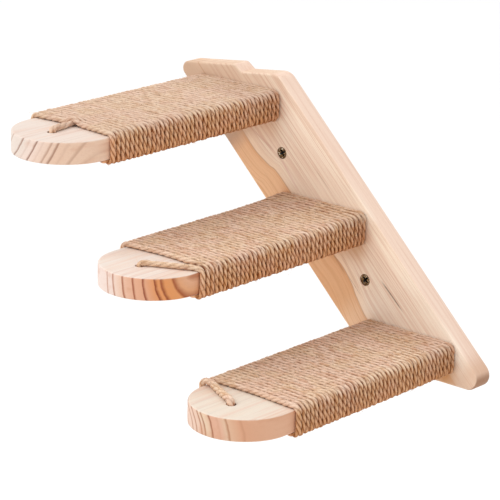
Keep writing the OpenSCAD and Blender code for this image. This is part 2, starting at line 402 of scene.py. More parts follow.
def board_pine():
    """Straight grain with a darker heartwood strip along one edge."""
    n = Nodes("pine_backboard")
    at = wood_space(n, (0, -BACK_T, 0), BACK_ACROSS, BACK_ALONG, (0, 1, 0))
    seeded = shifted(n, at, BOARD_SEED)
    across, along, depth = n.split(at)

    # The grain bends with the heartwood's edge; beyond is the distance from that edge.
    width = n.curve(along, HEARTWOOD, -120, 120, 40)
    sway = n.noise(seeded, (0.0, 0.03, 0.05), 2, 0.5)
    edge = n.math("SUBTRACT", n.math("ADD", across, BACK_HALF_W), width)
    beyond = n.math("ADD", edge, n.times(n.math("SUBTRACT", sway, 0.5), 2.4))
    follow = n.times(n.math("SUBTRACT", width, 25), n.between(beyond, 30, 2))
    grain_at = n.add("CombineXYZ", {0: n.math("SUBTRACT", across, follow), 1: along, 2: depth})
    grain_at = shifted(n, grain_at, BOARD_SEED)
    broad = n.noise(grain_at, (0.11, 0.004, 0.05), 2, 0.5)
    lines = n.noise(grain_at, (0.62, 0.006, 0.3), 4, 0.6)
    fine = n.noise(grain_at, (1.7, 0.02, 1.2), 3, 0.6)

    body = n.tint((248, 220, 195), (broad, 0.35, 0.65, 1, (255, 234, 210)))
    # Painted light: the face is paler towards the foot, against the shade of the treads, and paler on the
    # right of the upper part
    pale = n.times(n.between(across, 0, 32, 0, 0.5), n.between(along, 40, -10))
    pale = n.math("MAXIMUM", pale, n.between(along, 40, 125))
    body = n.mix(n.times(pale, 0.9), body, (255, 240, 221))
    body = n.tint(
        body, (lines, 0.46, 0.64, 0.60, (220, 176, 148)), (fine, 0.50, 0.70, 0.40, (214, 166, 136)),
        (beyond, 14, 1, 0.75, (255, 227, 196)),
    )
    heart = n.tint(
        (248, 200, 155), (along, -40, 70, 1, (236, 184, 136)), (along, 60, 84, 0.8, (250, 210, 172)),
        (lines, 0.42, 0.66, 0.5, (220, 158, 108)),
    )

    # On the front of the head the heartwood fades and the wood is dull, most of all at the left corner.
    front = n.between(depth, 12, 5)
    heart = n.mix(n.times(n.between(along, -105, -111, 0, 0.9), front), heart, body)
    colour = n.tint(body, (beyond, 0.5, -0.4, 1, heart))
    head = n.between(along, -90, -109)
    dull = n.times(head, n.between(across, 40, -40, 0.25, 0.80), front)
    colour = n.mix(dull, colour, (208, 174, 148))
    corner = n.times(head, n.between(across, -12, -36, 0, 0.45), front)
    colour = n.mix(corner, colour, (182, 146, 118))

    line = n.times(n.between(beyond, -0.9, 0.0), n.between(beyond, 1.0, 0.1))
    colour = n.mix(n.times(line, 0.45), colour, (182, 130, 94))
    colour = add_streaks(n, colour, across, along, depth, fine)

    side = n.tint((243, 212, 193), (lines, 0.45, 0.7, 0.4, (234, 197, 174)))
    colour = n.tint(colour, (facing(n, BACK_ACROSS), 0.45, 0.9, 0.75, side))
    wave = n.math("FRACT", n.math("DIVIDE", ring_radius(n, at, seeded, BOARD_PITH), BOARD_RING_GAP))
    ring = n.tint((230, 198, 168), (wave, 0.45, 0.98, 1, (196, 146, 112)))
    # Painted shade: darker over the last stretch towards the foot, and on the foot's end face, which looks
    # down, beyond the end grain's own colour
    foot_shade = n.dot(n.surface_normal(), BACK_ALONG)
    colour = n.tint(
        colour, (facing(n, BACK_ALONG), 0.55, 0.95, 0.9, ring), (along, 162, 182, 0.65, (212, 168, 136)),
        (foot_shade, 0.25, 0.80, 0.8, (146, 100, 70)),
    )
    return finish_wood(n, seeded, add_tread_shading(n, colour, depth, beyond))


def add_streaks(n, colour, across, along, depth, fine):
    broken = n.between(fine, 0.35, 0.6, 0.35, 1.0)
    front = n.between(depth, 9, 3)
    for place, middle, reach, slant, half, strength, tint in STREAKS:
        off = n.math("SUBTRACT", along, middle)
        aside = n.math("SUBTRACT", n.math("SUBTRACT", across, place), n.times(off, slant))
        thin = n.between(n.math("ABSOLUTE", aside), half, half * 0.15)
        ends = n.between(n.math("ABSOLUTE", off), reach, reach * 0.4)
        colour = n.mix(n.times(thin, ends, broken, strength, front), colour, tint)
    return colour


def add_tread_shading(n, colour, depth, beyond):
    """The board's front gets a painted orange shadow below each tread, and painted light above it."""
    x, _, z = n.split(n.scaled(n.position(), 1 / MM))
    front = n.between(depth, 6, 1)
    for row, look in TREADS.items():
        middle, _, level = tread_place(row)
        aside = n.math("ABSOLUTE", n.math("SUBTRACT", x, middle))
        below = n.math("SUBTRACT", level, z)
        # Painted shadow below the tread, orange as if from light bounced off the rope
        painted_shadow = n.times(n.between(aside, 54, 36), n.between(below, 37, 15), n.between(below, -2, 8), front)
        colour = n.mix(n.times(painted_shadow, look["painted_shadow"]), colour, (202, 140, 76))
        # Painted light above the tread, against the shade near the rope
        painted_light = n.times(n.between(aside, 62, 46), n.between(below, -40, -18), n.between(below, -4, -11))
        painted_light = n.times(painted_light, front, n.between(beyond, 0, 3), look["painted_light"])
        colour = n.mix(painted_light, colour, (255, 240, 222))
    return colour


# How exactly the board's flat faces and its outline are found again in the CAD mesh
LEVEL_NEAR = 0.01
OUTLINE_NEAR = 0.1
BOARD_SHARP = math.radians(30)


def mesh_from(bm, name):
    mesh = bpy.data.meshes.new(name)
    bm.to_mesh(mesh)
    bm.free()
    return mesh


def bridge(bm, rings):
    """Quads between each ring of vertices and the next."""
    for a, b in zip(rings, rings[1:]):
        for i in range(len(a)):
            j = (i + 1) % len(a)
            bm.faces.new((a[i], a[j], b[j], b[i]))


def sides_of(loop):
    return zip(loop, loop[1:] + loop[:1])


def loop_length(loop):
    return sum(math.dist(a, b) for a, b in sides_of(loop))


def loop_area(loop):
    return sum(a[0] * b[1] - a[1] * b[0] for a, b in sides_of(loop)) / 2


def outline(mesh, level):
    """Outer edge of the mesh's flat face at y = level, as a list of (x, z) in millimetres."""
    keys = [tuple(round(c / MM, 3) for c in v.co) for v in mesh.vertices]
    edges = {}
    for polygon in mesh.polygons:
        corners = [keys[i] for i in polygon.vertices]
        if all(abs(c[1] - level) < LEVEL_NEAR for c in corners):
            edges.update(dict.fromkeys(sides_of(corners)))
    after = {a: b for a, b in edges if (b, a) not in edges}
    loops = []
    while after:
        start, here = after.popitem()
        loop = [start]
        while here != start:
            loop.append(here)
            here = after.pop(here)
        loops.append([(p[0], p[2]) for p in loop])
    return max(loops, key=loop_length)


def inset(loop, distance):
    """The loop moved inwards; the loop runs anticlockwise."""
    points = np.array(loop)
    ahead = unit(np.roll(points, -1, 0) - points)
    square = np.stack([-ahead[:, 1], ahead[:, 0]], 1)
    inward = unit(square + np.roll(square, 1, 0))
    # A corner moves further than a side, but at most twice as far.
    widen = 1 / np.maximum(0.5, (inward * square).sum(1))
    return points + inward * (widen * distance)[:, None]


def edge_sections(front, back):
    """How far inside the outline the rings of the rounded edge lie, and their y, from front to back."""
    arc = [math.radians(90 * i / BACK_ARC_STEPS) for i in range(BACK_ARC_STEPS + 1)]
    sections = []
    for radius, level, way in zip(BACK_EDGES, (front, back), (1, -1)):
        bend = [(radius + BACK_RIM, level)]
        bend += [(radius * (1 - math.sin(a)), level + way * radius * (1 - math.cos(a))) for a in arc]
        sections += bend[::way]
    return sections


def fill_face(bm, level):
    """Closes a flat face of the board between its outer ring and the holes that are open there."""
    open_edges = [
        e for e in bm.edges
        if e.is_boundary and all(abs(v.co.y / MM - level) < LEVEL_NEAR for v in e.verts)
    ]
    bmesh.ops.triangle_fill(bm, edges=open_edges, use_beauty=True, use_dissolve=False, normal=(0, -1, 0))


def build_backboard(material):
    """The CAD board again, with its outer edges rounded over."""
    source = nodes["backboard"].data
    bm = bmesh.new()
    bm.from_mesh(source)
    bmesh.ops.remove_doubles(bm, verts=bm.verts, dist=1e-6)
    levels = (-BACK_T, 0.0)
    loop, rear = (outline(source, level) for level in levels)
    edge = np.array(loop + rear)
    doomed = []
    for face in bm.faces:
        corners = [v.co / MM for v in face.verts]
        on_edge = all(np.hypot(edge[:, 0] - c.x, edge[:, 1] - c.z).min() < OUTLINE_NEAR for c in corners)
        flat = any(all(abs(c.y - level) < LEVEL_NEAR for c in corners) for level in levels)
        if flat or on_edge:
            doomed.append(face)
    bmesh.ops.delete(bm, geom=doomed, context="FACES")
    if loop_area(loop) < 0:
        loop = loop[::-1]
    rings = []
    for into, y in edge_sections(*levels):
        rings.append([bm.verts.new((x * MM, y * MM, z * MM)) for x, z in inset(loop, into)])
    bridge(bm, rings)
    for level in levels:
        fill_face(bm, level)
    bmesh.ops.recalc_face_normals(bm, faces=bm.faces)
    for e in bm.edges:
        e.smooth = not (e.is_manifold and e.calc_face_angle(0) > BOARD_SHARP)
    board = add_piece(mesh_from(bm, "backboard_rounded"), material)
    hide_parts("backboard")
    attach(board, "root")


# Rope

ROPE_R = 2.5
ROPE_SIDES = 18
PLY_SIDES = 6
# Depth of the groove between two plies, and the rope's thickness where it is pressed on the wood
GROOVE = 0.38
SQUASH = 0.88
# Length in which a ply runs once round the rope
LAY = 20.5
# Half the tread's width and thickness, and how far inside its edges they begin to round
HALF_W = 42.0
HALF_T = 9.0
EDGE_ROUND = 1.5
# The rope's centreline lies this far outside the tread, and turns its corners with this radius.
ROUTE_OFF = 2.25
ROUTE_CORNER = 4.0
ROUTE_STEP = 0.25
# Distances between a path's points, raw and made even, and between a tube's rings, straight and in bends
FINE_STEP = 0.5
EVEN_STEP = 0.4
RING_STEP = 1.72
BEND_STEP = 1.25
BEND_LEAST = 0.07
ARC_STEPS = 12
# Where the first turn lies, as N, the distance out from the backboard, and how far round it starts
FIRST_N = 2.85
FIRST_AT = 7.0
# On the underside, within this share of a turn either way, the rope moves on by this share of the pitch.
JOG_HALF = 0.16
JOG_SHARE = 0.85
# Turn from which the turns hang back on the tread's top, and half the width over which they do
HOLLOW_FROM = 24
TOP_REACH = 46
# Turns over which the heap at the wall falls off, and how far a hump over the free end reaches
HEAP_TURNS = 13
HUMP_REACH = 5.2
# Random values: how far they reach, and the length from one knot to the next
LEVEL_WANDER = (0.10, 31)
LIFT_WANDER = (0.12, 23)
LAY_WANDER = (0.20, 130)
TWIST_WANDER = (0.35, 27)
SIZE_WANDER = (0.045, 19)
PLY_WANDER = (0.07, 14)
# Neighbouring turns wander together: reach, turns from one knot to the next, and knots along and round
DRIFT = 0.55
DRIFT_TURNS = 5.0
DRIFT_KNOTS = (13, 8)
# The free end is thicker, from this N on.
STRAND_N = 198
ROPE_SEED = 100


def run_length(points):
    """Length of the path so far, at each point."""
    return np.concatenate([[0], np.cumsum(np.linalg.norm(np.diff(points, axis=0), axis=1))])


def points_at(points, run, places):
    """The path's points at other lengths."""
    return np.stack([np.interp(places, run, axis) for axis in points.T], 1)


def rounded_route():
    """The rope's closed route round a tread: its length, lengths so far, and x, z and outward there."""
    a, b, r = HALF_W + ROUTE_OFF, HALF_T + ROUTE_OFF, ROUTE_CORNER
    corners = [((a - r, r - b), -90), ((a - r, b - r), 0), ((r - a, b - r), 90), ((r - a, r - b), 180)]
    points = [(0.0, -b)]
    for (cx, cz), start in corners:
        for k in range(ARC_STEPS + 1):
            t = math.radians(start + 90 * k / ARC_STEPS)
            points.append((cx + r * math.cos(t), cz + r * math.sin(t)))
    points.append((0.0, -b))
    points = np.array(points)
    run = run_length(points)
    even = np.arange(0, run[-1], ROUTE_STEP)
    x, z = points_at(points, run, even).T
    tx, tz = np.gradient(x), np.gradient(z)
    size = np.hypot(tx, tz)
    return run[-1], even, (x, z, tz / size, -tx / size)


ROUTE_LEN, ROUTE_AT, ROUTE_PARTS = rounded_route()


def wander(t, reach, step, rng):
    """Smooth random value of about -reach to reach along t."""
    knots = rng.uniform(-1, 1, int(t[-1] / step) + 3)
    i = (t / step).astype(int)
    f = smooth_step(t / step - i)
    return reach * (knots[i] * (1 - f) + knots[i + 1] * f)


def drift(share, row, rng):
    """Smooth random value over the wrap, much the same for neighbouring turns. share is 0 to 1 round."""
    grid = rng.uniform(-1, 1, DRIFT_KNOTS)
    columns = DRIFT_KNOTS[1]
    a, b = row / DRIFT_TURNS, share * columns
    i, j = np.floor(a).astype(int), np.floor(b).astype(int) % columns
    fa, fb = smooth_step(a - np.floor(a)), smooth_step(b - np.floor(b))
    k = (j + 1) % columns
    low = grid[i, j] * (1 - fb) + grid[i, k] * fb
    high = grid[i + 1, j] * (1 - fb) + grid[i + 1, k] * fb
    return low * (1 - fa) + high * fa


def wound_part(look, rng):
    """Points x, N, z of the turns, and how many turns have been made at each."""
    run = np.arange(FIRST_AT, look["turns"] * ROUTE_LEN, FINE_STEP)
    turn = run / ROUTE_LEN
    share = turn % 1
    whole = np.floor(turn + 0.5)
    step = smooth_step((turn - whole + JOG_HALF) / (2 * JOG_HALF))
    row = np.maximum(0, whole - 1 + step)
    row = JOG_SHARE * row + (1 - JOG_SHARE) * np.clip(turn - 0.5, 0, None)
    at = share * ROUTE_LEN
    x, z, nx, nz = (np.interp(at, ROUTE_AT, part, period=ROUTE_LEN) for part in ROUTE_PARTS)

    up = np.clip(nz, 0, 1)
    on_top = up * np.cos(np.clip(x / TOP_REACH, -1, 1) * math.pi / 2) ** 1.2
    late = smooth_step((row - HOLLOW_FROM) / (look["turns"] - HOLLOW_FROM))
    level = look["pitch"] * row - look["hollow"] * on_top * late
    level = level + drift(share, row, rng) * DRIFT * smooth_step(row / 4)
    level = level + wander(run, *LEVEL_WANDER, rng)
    lift = 0.10 + wander(run, *LIFT_WANDER, rng) + 0.15 * on_top
    lift = lift + look.get("heap", 0) * np.clip(1 - row / HEAP_TURNS, 0, 1) ** 2 * up
    for hump_row, height in look.get("humps", ()):
        near = np.exp(-((x - look["hump_x"]) / HUMP_REACH) ** 2) * up
        lift = lift + height * near * (np.abs(row - hump_row) < 0.5)
    x, z = x + nx * lift, z + nz * lift
    return np.stack([x * look["hand"], FIRST_N + level, z], 1), turn


def arc_points(centre, start_dir, end_dir, radius):
    """Points of a quarter turn about centre, from start_dir to end_dir."""
    c, a, b = (np.array(v, float) for v in (centre, start_dir, end_dir))
    t = np.linspace(0, math.pi / 2, 8)[:, None]
    return c + radius * (a * np.cos(t) + b * np.sin(t))


def curve_through(points):
    """Smooth curve through the points, by Catmull and Rom's rule."""
    p = np.array(points, float)
    p = np.concatenate([[2 * p[0] - p[1]], p, [2 * p[-1] - p[-2]]])
    out = []
    for a, b, c, d in zip(p, p[1:], p[2:], p[3:]):
        steps = max(2, int(np.linalg.norm(c - b) / FINE_STEP))
        t = np.linspace(0, 1, steps, endpoint=False)[:, None]
        square = (2 * a - 5 * b + 4 * c - d) * t**2
        cube = (3 * b - a - 3 * c + d) * t**3
        out.append((2 * b + (c - a) * t + square + cube) / 2)
    out.append(p[-2:-1])
    return np.concatenate(out)


def even_out(points):
    """Drops repeated points, spaces them evenly and smooths small corners."""
    gap = np.linalg.norm(np.diff(points, axis=0), axis=1)
    points = points[np.concatenate([[True], gap > 1e-4])]
    run = run_length(points)
    p = points_at(points, run, np.linspace(0, run[-1], int(run[-1] / EVEN_STEP)))
    for _ in range(3):
        p[1:-1] = (p[:-2] + 2 * p[1:-1] + p[2:]) / 4
    return p


def ring_places(p):
    """Points of the path where the tube has its rings, closer together in bends."""
    run = run_length(p)
    tangent = np.gradient(p, run, axis=0)
    bend = np.linalg.norm(np.gradient(tangent, run, axis=0), axis=1)
    bend = np.convolve(bend, np.ones(5) / 5, "same")
    gap = np.where(bend > BEND_LEAST, BEND_STEP, RING_STEP)
    count = np.concatenate([[0], np.cumsum(np.diff(run) / gap[1:])])
    at = np.interp(np.linspace(0, count[-1], int(count[-1]) + 1), count, run)
    return at, points_at(p, run, at)


def axes_along(p):
    """Two axes square to the path at each ring, with no twist of their own."""
    tangent = unit(np.gradient(p, axis=0))
    normal = np.empty_like(p)
    here = np.cross(tangent[0], (0.3, 0.5, 0.8))
    for i, t in enumerate(tangent):
        here = unit(here - t * (here @ t))
        normal[i] = here
    return normal, np.cross(tangent, normal)


def ply_profile():
    """Height of each corner of the rope's section: 1 on a ply's crest, 0 in the groove between two."""
    off = np.abs((np.arange(ROPE_SIDES) % PLY_SIDES) / PLY_SIDES - 0.5) * 2
    return 1 - off**2.3


def hold(centre):
    """Direction away from the tread at each ring, and how firmly the rope lies on the wood there."""
    x, z = centre[:, 0], centre[:, 2]
    out_x = x - np.clip(x, EDGE_ROUND - HALF_W, HALF_W - EDGE_ROUND)
    out_z = z - np.clip(z, EDGE_ROUND - HALF_T, HALF_T - EDGE_ROUND)
    far = np.hypot(out_x, out_z)
    outward = np.stack([out_x, np.zeros_like(x), out_z], 1) / np.maximum(far, 1e-6)[:, None]
    return outward, smooth_step((far - 1) / 2)


def tube_quads(gaps, sides):
    """Quads of a tube whose vertices run ring by ring."""
    k = np.arange(sides)
    base = (np.arange(gaps) * sides)[:, None]
    ahead = (k + 1) % sides
    return np.stack([base + k, base + ahead, base + ahead + sides, base + k + sides], 2).reshape(-1, 4)


def tube(points, wound, look, rng):
    """Vertices, quads and attributes of a laid rope along the points, which are x, -N and z on the tread.

    wound is the length of the part that lies in turns; the rest has no neighbour.
    """
    at, centre = ring_places(even_out(points))
    normal, binormal = axes_along(centre)
    outward, held = hold(centre)
    height = ply_profile()
    lay = LAY * (1 + wander(at, *LAY_WANDER, rng))
    twist = -2 * math.pi * np.concatenate([[0], np.cumsum(np.diff(at) / lay[1:])])
    twist += wander(at, *TWIST_WANDER, rng)
    angle = twist[:, None] + 2 * math.pi * np.arange(ROPE_SIDES) / ROPE_SIDES
    size = ROPE_R * (1 + wander(at, *SIZE_WANDER, rng))
    size *= 1 + (look.get("strand", 1) - 1) * smooth_step((-centre[:, 1] - STRAND_N) / 5)
    flat_top = np.clip(outward[:, 2], 0, 1) * held
    groove = GROOVE * (1 - 0.45 * flat_top)
    radius = size[:, None] * (1 - groove[:, None] * (1 - height))
    for start in range(0, ROPE_SIDES, PLY_SIDES):
        radius[:, start:start + PLY_SIDES] *= (1 + wander(at, *PLY_WANDER, rng))[:, None]
    radius *= 1 + 0.012 * rng.uniform(-1, 1, radius.shape)
    spokes = np.cos(angle)[:, :, None] * normal[:, None] + np.sin(angle)[:, :, None] * binormal[:, None]
    lift = (spokes * outward[:, None]).sum(2)
    press = (1 - SQUASH) * held[:, None] * radius * lift
    vertices = centre[:, None] + radius[:, :, None] * spokes - press[:, :, None] * outward[:, None]

    # For the material: the place in the rope, height in the section, crevice between turns, where shade is
    # painted, and level, by which shade is painted down the sides and underneath
    space = (at[:, None], radius * np.cos(angle), radius * np.sin(angle))
    noseward = np.clip(-1.6 * spokes[:, :, 1], 0, 1) * smooth_step((at - wound + ROUTE_LEN) / 6)[:, None]
    open_side = np.maximum(noseward, smooth_step((at - wound) / 6)[:, None])
    crevice = held[:, None] * smooth_step((0.97 - lift) / 0.60) * (1 - 0.85 * open_side)
    level = np.clip(centre[:, 2] / (HALF_T + ROUTE_OFF), -1, 1)
    level += 0.8 * (level < 0) * smooth_step((HALF_W - np.abs(centre[:, 0])) / 12)
    shown = (1 - (1 - height) * (1 - 0.55 * flat_top[:, None]), crevice, level[:, None])
    return {
        "vertices": vertices.reshape(-1, 3), "quads": tube_quads(len(at) - 1, ROPE_SIDES),
        "sides": ROPE_SIDES, "rope_space": np.stack(np.broadcast_arrays(*space), 2).reshape(-1, 3),
        "rope_look": np.stack(np.broadcast_arrays(*shown), 2).reshape(-1, 3),
    }


FUZZ_COUNT = 900
FUZZ_SIDES = 3
FUZZ_STEPS = 4
# No fibre stands where the crevice between turns is deeper than this.
FUZZ_CREVICE = 0.25


def fuzz(body, rng):
    """Short loose fibres that stand off a rope's tube; each is a thin closed tube."""
    rings = body["vertices"].reshape(-1, ROPE_SIDES, 3)
    looks = body["rope_look"].reshape(-1, ROPE_SIDES, 3)
    t = np.linspace(0, 1, FUZZ_STEPS + 1)[:, None]
    a = 2 * math.pi * np.arange(FUZZ_SIDES)[:, None] / FUZZ_SIDES
    quads = tube_quads(FUZZ_STEPS, FUZZ_SIDES)
    fibres = []
    while len(fibres) < FUZZ_COUNT:
        i, k = rng.integers(4, len(rings) - 4), rng.integers(ROPE_SIDES)
        _, crevice, level = looks[i, k]
        if crevice > FUZZ_CREVICE:
            continue
        middle = rings[i].mean(0)
        out = unit(rings[i, k] - middle)
        way = unit(rings[i + 1].mean(0) - middle) * rng.choice([-1, 1])
        side = np.cross(out, way)
        bend = side * rng.uniform(-0.9, 0.9)
        length, rise = rng.uniform(2.0, 6.0), rng.uniform(0.25, 0.75)
        reach = way * t + bend * t * t + out * rise * t * (1.15 - 0.6 * t)
        line = rings[i, k] - 0.2 * out + length * reach
        width = rng.uniform(0.05, 0.09) * (1 - 0.6 * t)
        around = np.cos(a) * out + np.sin(a) * side
        vertices = (line[:, None] + width[:, None] * around).reshape(-1, 3)
        fibres.append({
            "vertices": vertices, "quads": quads, "sides": FUZZ_SIDES,
            "rope_space": vertices * 0.3 + rng.uniform(0, 50, 3),
            "rope_look": np.broadcast_to((1.0, 0.0, level), vertices.shape),
        })
    return fibres


def tubes_to_mesh(name, tubes, shift):
    """One mesh from closed tubes, moved by shift."""
    first, quads, ends = 0, [], []
    for t in tubes:
        count, sides = len(t["vertices"]), t["sides"]
        quads += (t["quads"] + first).tolist()
        ends += [range(first + sides - 1, first - 1, -1), range(first + count - sides, first + count)]
        first += count
    vertices = np.concatenate([t["vertices"] for t in tubes]) + shift
    mesh = bpy.data.meshes.new(name)
    mesh.from_pydata((vertices * MM).tolist(), [], quads + ends)
    mesh.validate()
    for key in ("rope_space", "rope_look"):
        layer = mesh.attributes.new(key, "FLOAT_VECTOR", "POINT")
        layer.data.foreach_set("vector", np.concatenate([t[key] for t in tubes]).astype(np.float32).ravel())
    return mesh


def jute_material(row, look):
    """Fibres along the rope, and painted shade in its grooves and crevices, down its sides and underneath.
    """
    n = Nodes("jute_" + row)
    at = n.add("Attribute", output=1, attribute_name="rope_space")
    height, crevice, level = n.split(n.add("Attribute", output=1, attribute_name="rope_look"))
    fibre = n.noise(at, (0.20, 1.2, 1.2), 5, 0.66)
    tone = n.noise(at, (0.045, 0.25, 0.25), 3, 0.55)
    colour = n.ramp(fibre, [
        (0.24, (140, 94, 60)), (0.38, (208, 169, 136)), (0.49, (240, 207, 178)), (0.61, (252, 226, 202)),
        (0.78, (255, 243, 226)),
    ])
    dim = n.noise(at, (0.10, 0.4, 0.4), 2, 0.5)
    colour = n.tint(
        colour, (tone, 0.38, 0.62, 0.5, (242, 216, 194)), (dim, 0.50, 0.66, 0.55, (190, 132, 88)),
        (dim, 0.46, 0.34, 0.55, (255, 236, 216)),
    )
    here = n.scaled(n.position(), 1 / MM)
    patch = n.noise(here, 0.045, 2, 0.5)
    warm = n.tint((236, 190, 168), (patch, 0.40, 0.60, 1, (230, 194, 146)))
    colour = n.mix(0.26, colour, warm)
    # Painted shade: warmer down the sides as if from orange bounce light, and dark brown underneath
    colour = n.tint(
        colour, (level, 1.0, 0.5, 0.36, (230, 150, 66)), (level, 0.3, -0.9, 0.28, (222, 138, 58)),
        (level, -0.75, -1.0, 0.50, (136, 76, 28)),
    )
    # Painted shade in the grooves between the plies
    groove = n.math("POWER", n.math("SUBTRACT", 1.0, height, True), 1.2)
    colour = n.mix(n.times(groove, 0.92), colour, (138, 68, 4))
    # Painted shade in the crevices between turns, broken into dashes
    dashes = n.noise(at, (0.2, 0.05, 0.05), 2, 0.5)
    depth = n.times(crevice, n.between(dashes, 0.38, 0.60, 0.25, 1.0))
    colour = n.mix(n.times(depth, 0.95), colour, (122, 58, 0))
    speck = n.noise(at, (0.6, 1.2, 1.2), 1, 0.4)
    colour = n.tint(
        # Painted shade: darker below the top, and greyer on the very top where the light is strongest
        colour, (level, 0.9, 0.4, look["shade"], (118, 70, 38)),
        (level, 0.90, 0.98, look["dimmed_top"], (200, 176, 158)),
        # Painted shade near the wall; the dark specks after it are the jute's own
        (n.split(here)[1], -80, -20, 0.20, (128, 78, 42)), (speck, 0.66, 0.72, 0.65, (104, 66, 40)),
    )
    rise = n.math("ADD", n.times(fibre, 0.75), n.times(height, 0.25))
    n.set(base_color=colour, roughness=n.between(fibre, 0.3, 0.7, 0.78, 0.95))
    n.set(normal=n.bump(rise, 0.35, 0.8), specular_ior_level=0.1, sheen_weight=0.03, sheen_roughness=0.5)
    return n.owner


# "hand" is the way round. On the tread's top, "hollow" is how far the last turns hang back, "heap" how
# high the first ones stand, and "humps" are the rows over the free end at "hump_x", with their heights.
# "strand" is the free end's thickness against the rest, "dimmed_top" how much painted shade greys the
# very top, where the light is strongest, and "shade" how much painted shade darkens the rope below it.
ROPES = {
    "top": {"hand": -1, "pitch": 4.95, "turns": 39.90, "hollow": 3.2, "strand": 1.22,
            "humps": [(39, 3.2), (38, 2.4), (37, 1.4), (36, 0.6)], "hump_x": 2.5, "dimmed_top": 0.35,
            "shade": 0},
    "middle": {"hand": 1, "pitch": 4.95, "turns": 39.30, "hollow": 3.6, "heap": 2.4, "dimmed_top": 0.10,
               "shade": 0},
    "bottom": {"hand": -1, "pitch": 4.86, "turns": 40.22, "hollow": 1.5, "strand": 1.25, "dimmed_top": 0.10,
               "shade": 0.18},
}
# The hole for the free end, as x and N, its depth, and how the rope bends over its rim
HOLE = (0.0, 218.0)
HOLE_DEPTH = 11.0
RIM_LEVEL = HALF_T - 0.3
RIM_BEND = 2.9
# Height of a rope's centreline on the tread's top
TOP = HALF_T + 2.5
# N of the blind hole in the underside where the rope begins, and the bend out of it
START_HOLE_N = 3.95
START_BEND = 3.0


def start_part(hand):
    """Out of the blind hole in the underside by the backboard, and round towards the side."""
    down = [(0, START_HOLE_N, z) for z in (1.5, -1.5, -4.5, -7.5)]
    bend = arc_points((hand * START_BEND, START_HOLE_N, -8.9), (-hand, 0, 0), (0, 0, -1), START_BEND)
    return np.concatenate([down, bend])


def dive(aside, past, travel, radius=RIM_BEND):
    """The rope's way over the hole's rim and down, a little aside of the hole's axis and past it."""
    x, n = HOLE[0] + aside, HOLE[1] + past
    tx, tn = unit(np.array(travel))
    bend = arc_points((x - tx * radius, n - tn * radius, RIM_LEVEL), (0, 0, 1), (tx, tn, 0), radius)
    down = [(x, n, RIM_LEVEL - d) for d in (2.0, 4.0, 6.0, HOLE_DEPTH)]
    return np.concatenate([bend, down])


def top_end(turns):
    """The last turn is tucked in below, and the free end comes out from under the last turns."""
    x, n, z = turns[-1]
    tuck = [(x, n, z), (x - 4, n - 0.3, -11.2), (x - 9, n - 0.8, -8.4), (x - 14, n - 1.2, -5.0)]
    end = dive(0.2, 0.2, (0.12, 1.0))
    strand = curve_through([
        (-3.6, 172.0, 6.0), (-3.2, 182.0, 9.6), (-2.6, 190.0, 11.1), (-2.0, 197.0, TOP), (-1.2, 205.0, TOP),
        (-0.3, 211.5, TOP), end[0],
    ])
    return [[turns, curve_through(tuck)[1:]], [strand[:-1], end]]


def middle_end(turns):
    """The last turn leaves the tread's edge for the hole in one slant."""
    end = dive(-0.3, 0.3, (-8.9, 5.3))
    strand = curve_through([
        turns[-1], (35.0, 199.6, TOP + 0.1), (25.8, 204.4, TOP), (16.0, 209.2, TOP), (8.6, 213.0, TOP),
        end[0],
    ])
    return [[turns[:-4], strand[3:-1], end]]


def bottom_end(turns):
    """The last turn runs beside the one before, and then slants to the hole."""
    end = dive(-0.2, 0.2, (9.3, 4.6), 3.2)
    strand = curve_through([
        turns[-1], (-44.0, 201.3, 9.2), (-40.4, 201.0, TOP + 0.9), (-35.0, 201.6, TOP + 0.9),
        (-28.0, 204.6, TOP + 0.5), (-20.0, 208.6, TOP + 0.3), (-11.4, 212.6, TOP + 0.2), end[0],
    ])
    return [[turns, strand[1:-1], end]]


# Each end gives the parts of the paths from the turns on: the wound rope's, and then a separate free end's.
ENDS = {"top": top_end, "middle": middle_end, "bottom": bottom_end}


def rope_paths(row, look, rng):
    """The points of each tube of one rope, in the tread's own x, N and z, and the length of its turns."""
    turns, turn = wound_part(look, rng)
    ease = 1 - smooth_step((turn * ROUTE_LEN - 5) / 28)
    turns[:, 1] += (START_HOLE_N - FIRST_N) * ease
    start = start_part(look["hand"])
    wound = run_length(np.concatenate([start, turns]))[-1]
    if row == "bottom":
        late = smooth_step((turn - 39.82) / 0.3)
        turns[:, 1] += 2.6 * late
        turns[:, 0] -= 0.7 * late
    body, *free = ENDS[row](turns)
    return [(np.concatenate([start] + body), wound)] + [(np.concatenate(part), 0.0) for part in free]


def build_ropes():
    for seed, (row, look) in enumerate(ROPES.items(), ROPE_SEED):
        material = jute_material(row, look)
        rng = np.random.default_rng(seed)
        place = np.array(tread_place(row))
        tubes = [tube(path * (1, -1, 1), wound, look, rng) for path, wound in rope_paths(row, look, rng)]
        rope = add_piece(tubes_to_mesh("rope_" + row + "_laid", tubes, place), material)
        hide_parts("rope_" + row)
        hairs = add_piece(tubes_to_mesh("rope_" + row + "_fuzz", fuzz(tubes[0], rng), place), material)
        for piece in (rope, hairs):
            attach(piece, "root")


# Screws

SCREW_SIDES = 40
# How far the head's flat lies below the board's face
HEAD_SINK = 0.4
# The head's face and rim, as distance inside the rim and depth
HEAD_RIM = [
    (1.25, 0.30), (0.85, 0.22), (0.45, 0.02), (0.22, 0.0), (0.06, 0.08), (0.02, 0.20), (0.05, 0.36),
    (0.45, 0.62),
]
POINT_LEN = 7.0
POINT_R = 0.06
# Rings to one turn of the thread, its core against its diameter, and half a tooth's share of the pitch
THREAD_RINGS = 9
THREAD_CORE = 0.62
TOOTH_HALF = 0.20
# Thread diameter, neck diameter, head diameter, length that bites and thread pitch
WALL_SCREW = (5.0, 3.6, 10.0, 42.0, 2.6)
TREAD_SCREW = (4.5, 3.2, 9.0, 42.0, 2.3)
